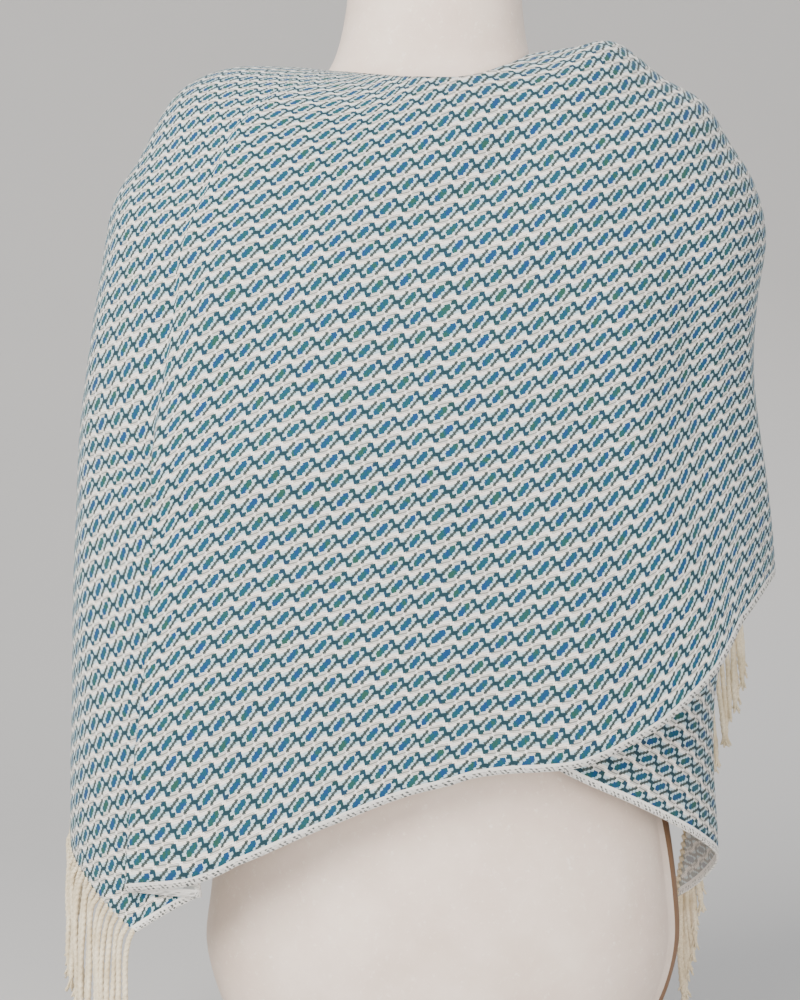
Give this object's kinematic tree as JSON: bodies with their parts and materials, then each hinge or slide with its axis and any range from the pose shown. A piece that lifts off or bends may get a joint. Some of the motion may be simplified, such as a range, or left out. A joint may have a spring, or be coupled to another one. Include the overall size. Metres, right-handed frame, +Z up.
{
  "type": "fringed stole on a dress form",
  "caption": "Handwoven fringed stole wound round a limbless dress form, one end crossed over the other in front, with a deep pleat at one side.",
  "frame": {"origin": "middle of the flat underside that the dress form stands on", "axes": "+Z up, -Y the way the garment's front faces, +X the right of somebody who looks at the front"},
  "size_m": [0.4919, 0.2596, 0.808],
  "materials": {
    "woven_cloth": "soft matte weave with short floats",
    "fringe_cord": "twisted matte yarn",
    "form_shell": "mottled, semi-matte"
  },
  "bodies": {
    "root": {"stole_front": "woven_cloth", "stole_left_end": "woven_cloth", "stole_right_shoulder": "woven_cloth", "stole_back": "woven_cloth", "stole_inner_front": "woven_cloth", "stole_inner_end": "woven_cloth", "fringe_outer_end": "fringe_cord", "fringe_inner_end": "fringe_cord", "dress_form": "form_shell"}
  },
  "joints": []
}
